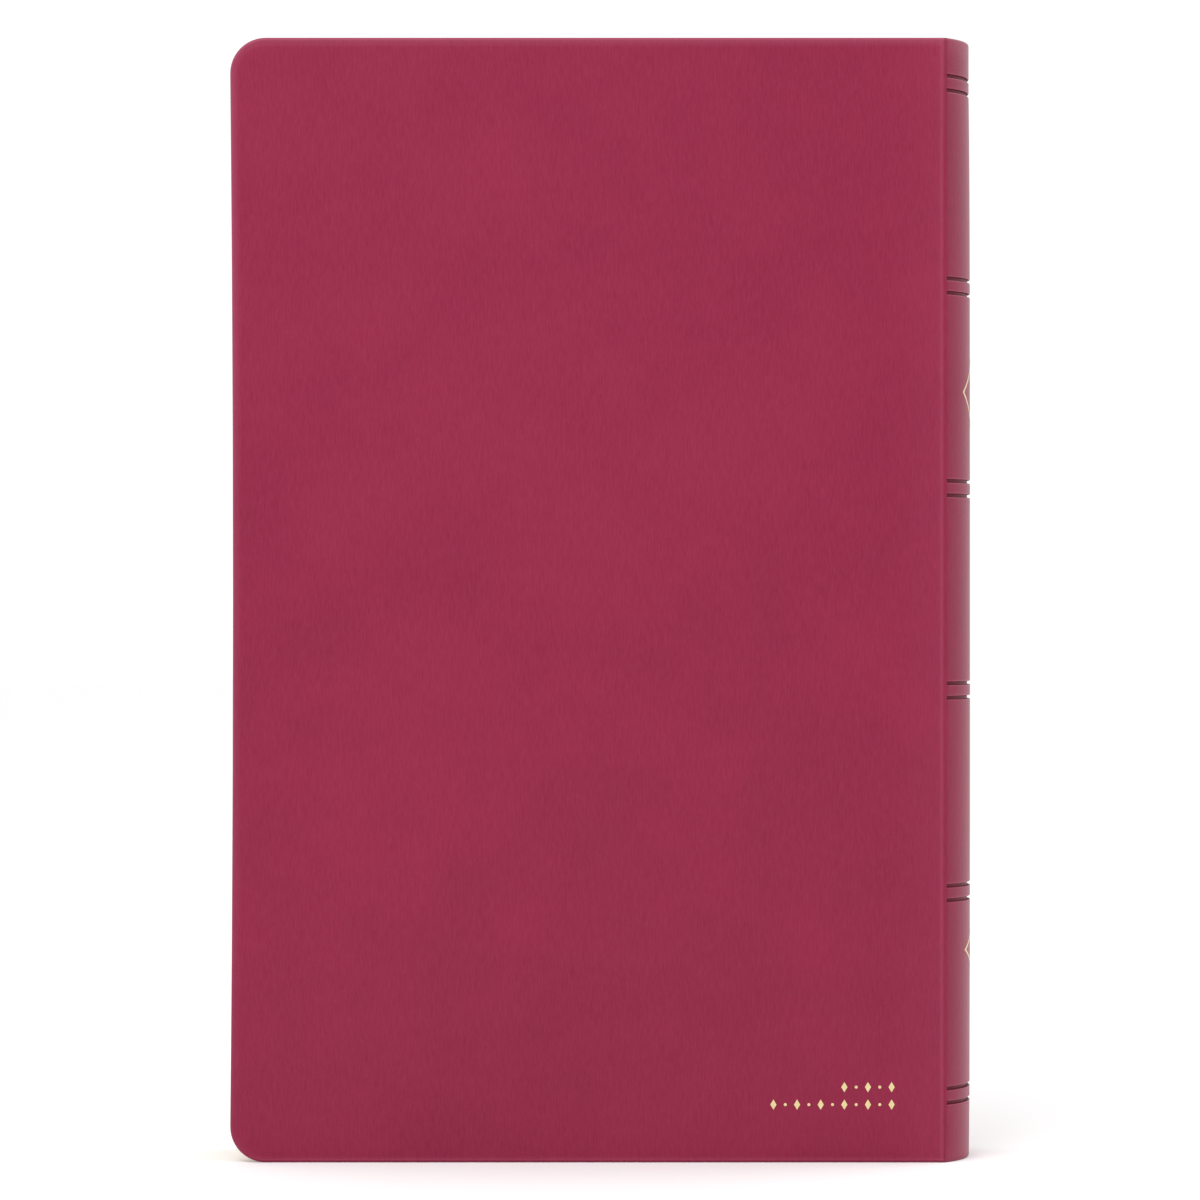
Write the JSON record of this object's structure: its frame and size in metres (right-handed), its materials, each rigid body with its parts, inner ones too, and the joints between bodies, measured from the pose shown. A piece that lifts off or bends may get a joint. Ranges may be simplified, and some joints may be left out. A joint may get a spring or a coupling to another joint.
{
  "type": "prayer book",
  "caption": "Flexible leather-bound prayer book with curved ribbed spine, rounded corners, sewn page sections and two covers that open.",
  "frame": {"origin": "middle of the bottom of the closed book's bounding box, on the surface it stands on", "axes": "+Z from tail to head, +X towards the spine, +Y out of the front cover, -Y out of the back cover"},
  "size_m": [0.145, 0.029, 0.219],
  "materials": {
    "leather": "burgundy grained, satin",
    "board": "flexible grey-brown board",
    "lining_paper": "kraft",
    "cloth": "open weave",
    "thread": "linen",
    "headband": "woven, satin",
    "endpaper": "matt coloured endpaper",
    "pages": "thin book paper, gilt edges"
  },
  "bodies": {
    "spine": {"spine_leather": "leather", "spine_stiffener": "board", "spine_lining": "lining_paper", "mull": "cloth", "sewing_thread": "thread", "headband": "headband", "tailband": "headband"},
    "front_leaves": {"section_01": "pages", "section_02": "pages", "section_03": "pages", "section_04": "pages", "section_05": "pages", "section_06": "pages", "section_07": "pages", "section_08": "pages"},
    "back_leaves": {"section_09": "pages", "section_10": "pages", "section_11": "pages", "section_12": "pages", "section_13": "pages", "section_14": "pages", "section_15": "pages", "section_16": "pages"},
    "front_flyleaf": {"front_flyleaf": "endpaper"},
    "back_flyleaf": {"back_flyleaf": "endpaper"},
    "front_cover": {"front_cover_leather": "leather", "front_board": "board", "front_hinge_cloth": "cloth", "front_pastedown": "endpaper"},
    "back_cover": {"back_cover_leather": "leather", "back_board": "board", "back_hinge_cloth": "cloth", "back_pastedown": "endpaper"}
  },
  "joints": [
    {"name": "front_leaves_turn", "type": "hinge", "parent": "spine", "child": "front_leaves", "pos_m": [0.06675, 0.01491, 0], "axis": [0, 0, -1], "range_deg": [0, 80]},
    {"name": "back_leaves_turn", "type": "hinge", "parent": "spine", "child": "back_leaves", "pos_m": [0.06675, -0.01491, 0], "axis": [0, 0, 1], "range_deg": [0, 80]},
    {"name": "front_cover_open", "type": "hinge", "parent": "front_leaves", "child": "front_cover", "pos_m": [0.06675, 0.01491, 0], "axis": [0, 0, -1], "range_deg": [0, 100]},
    {"name": "back_cover_open", "type": "hinge", "parent": "back_leaves", "child": "back_cover", "pos_m": [0.06675, -0.01491, 0], "axis": [0, 0, 1], "range_deg": [0, 100]},
    {"name": "front_flyleaf_lift", "type": "hinge", "parent": "front_leaves", "child": "front_flyleaf", "pos_m": [0.06675, 0.01491, 0], "axis": [0, 0, -1], "range_deg": [0, 46]},
    {"name": "back_flyleaf_lift", "type": "hinge", "parent": "back_leaves", "child": "back_flyleaf", "pos_m": [0.06675, -0.01491, 0], "axis": [0, 0, 1], "range_deg": [0, 46]}
  ],
  "couplings": [
    {"joint": "front_flyleaf_lift", "follows": "front_cover_open", "ratio": 0.45},
    {"joint": "back_flyleaf_lift", "follows": "back_cover_open", "ratio": 0.45}
  ]
}
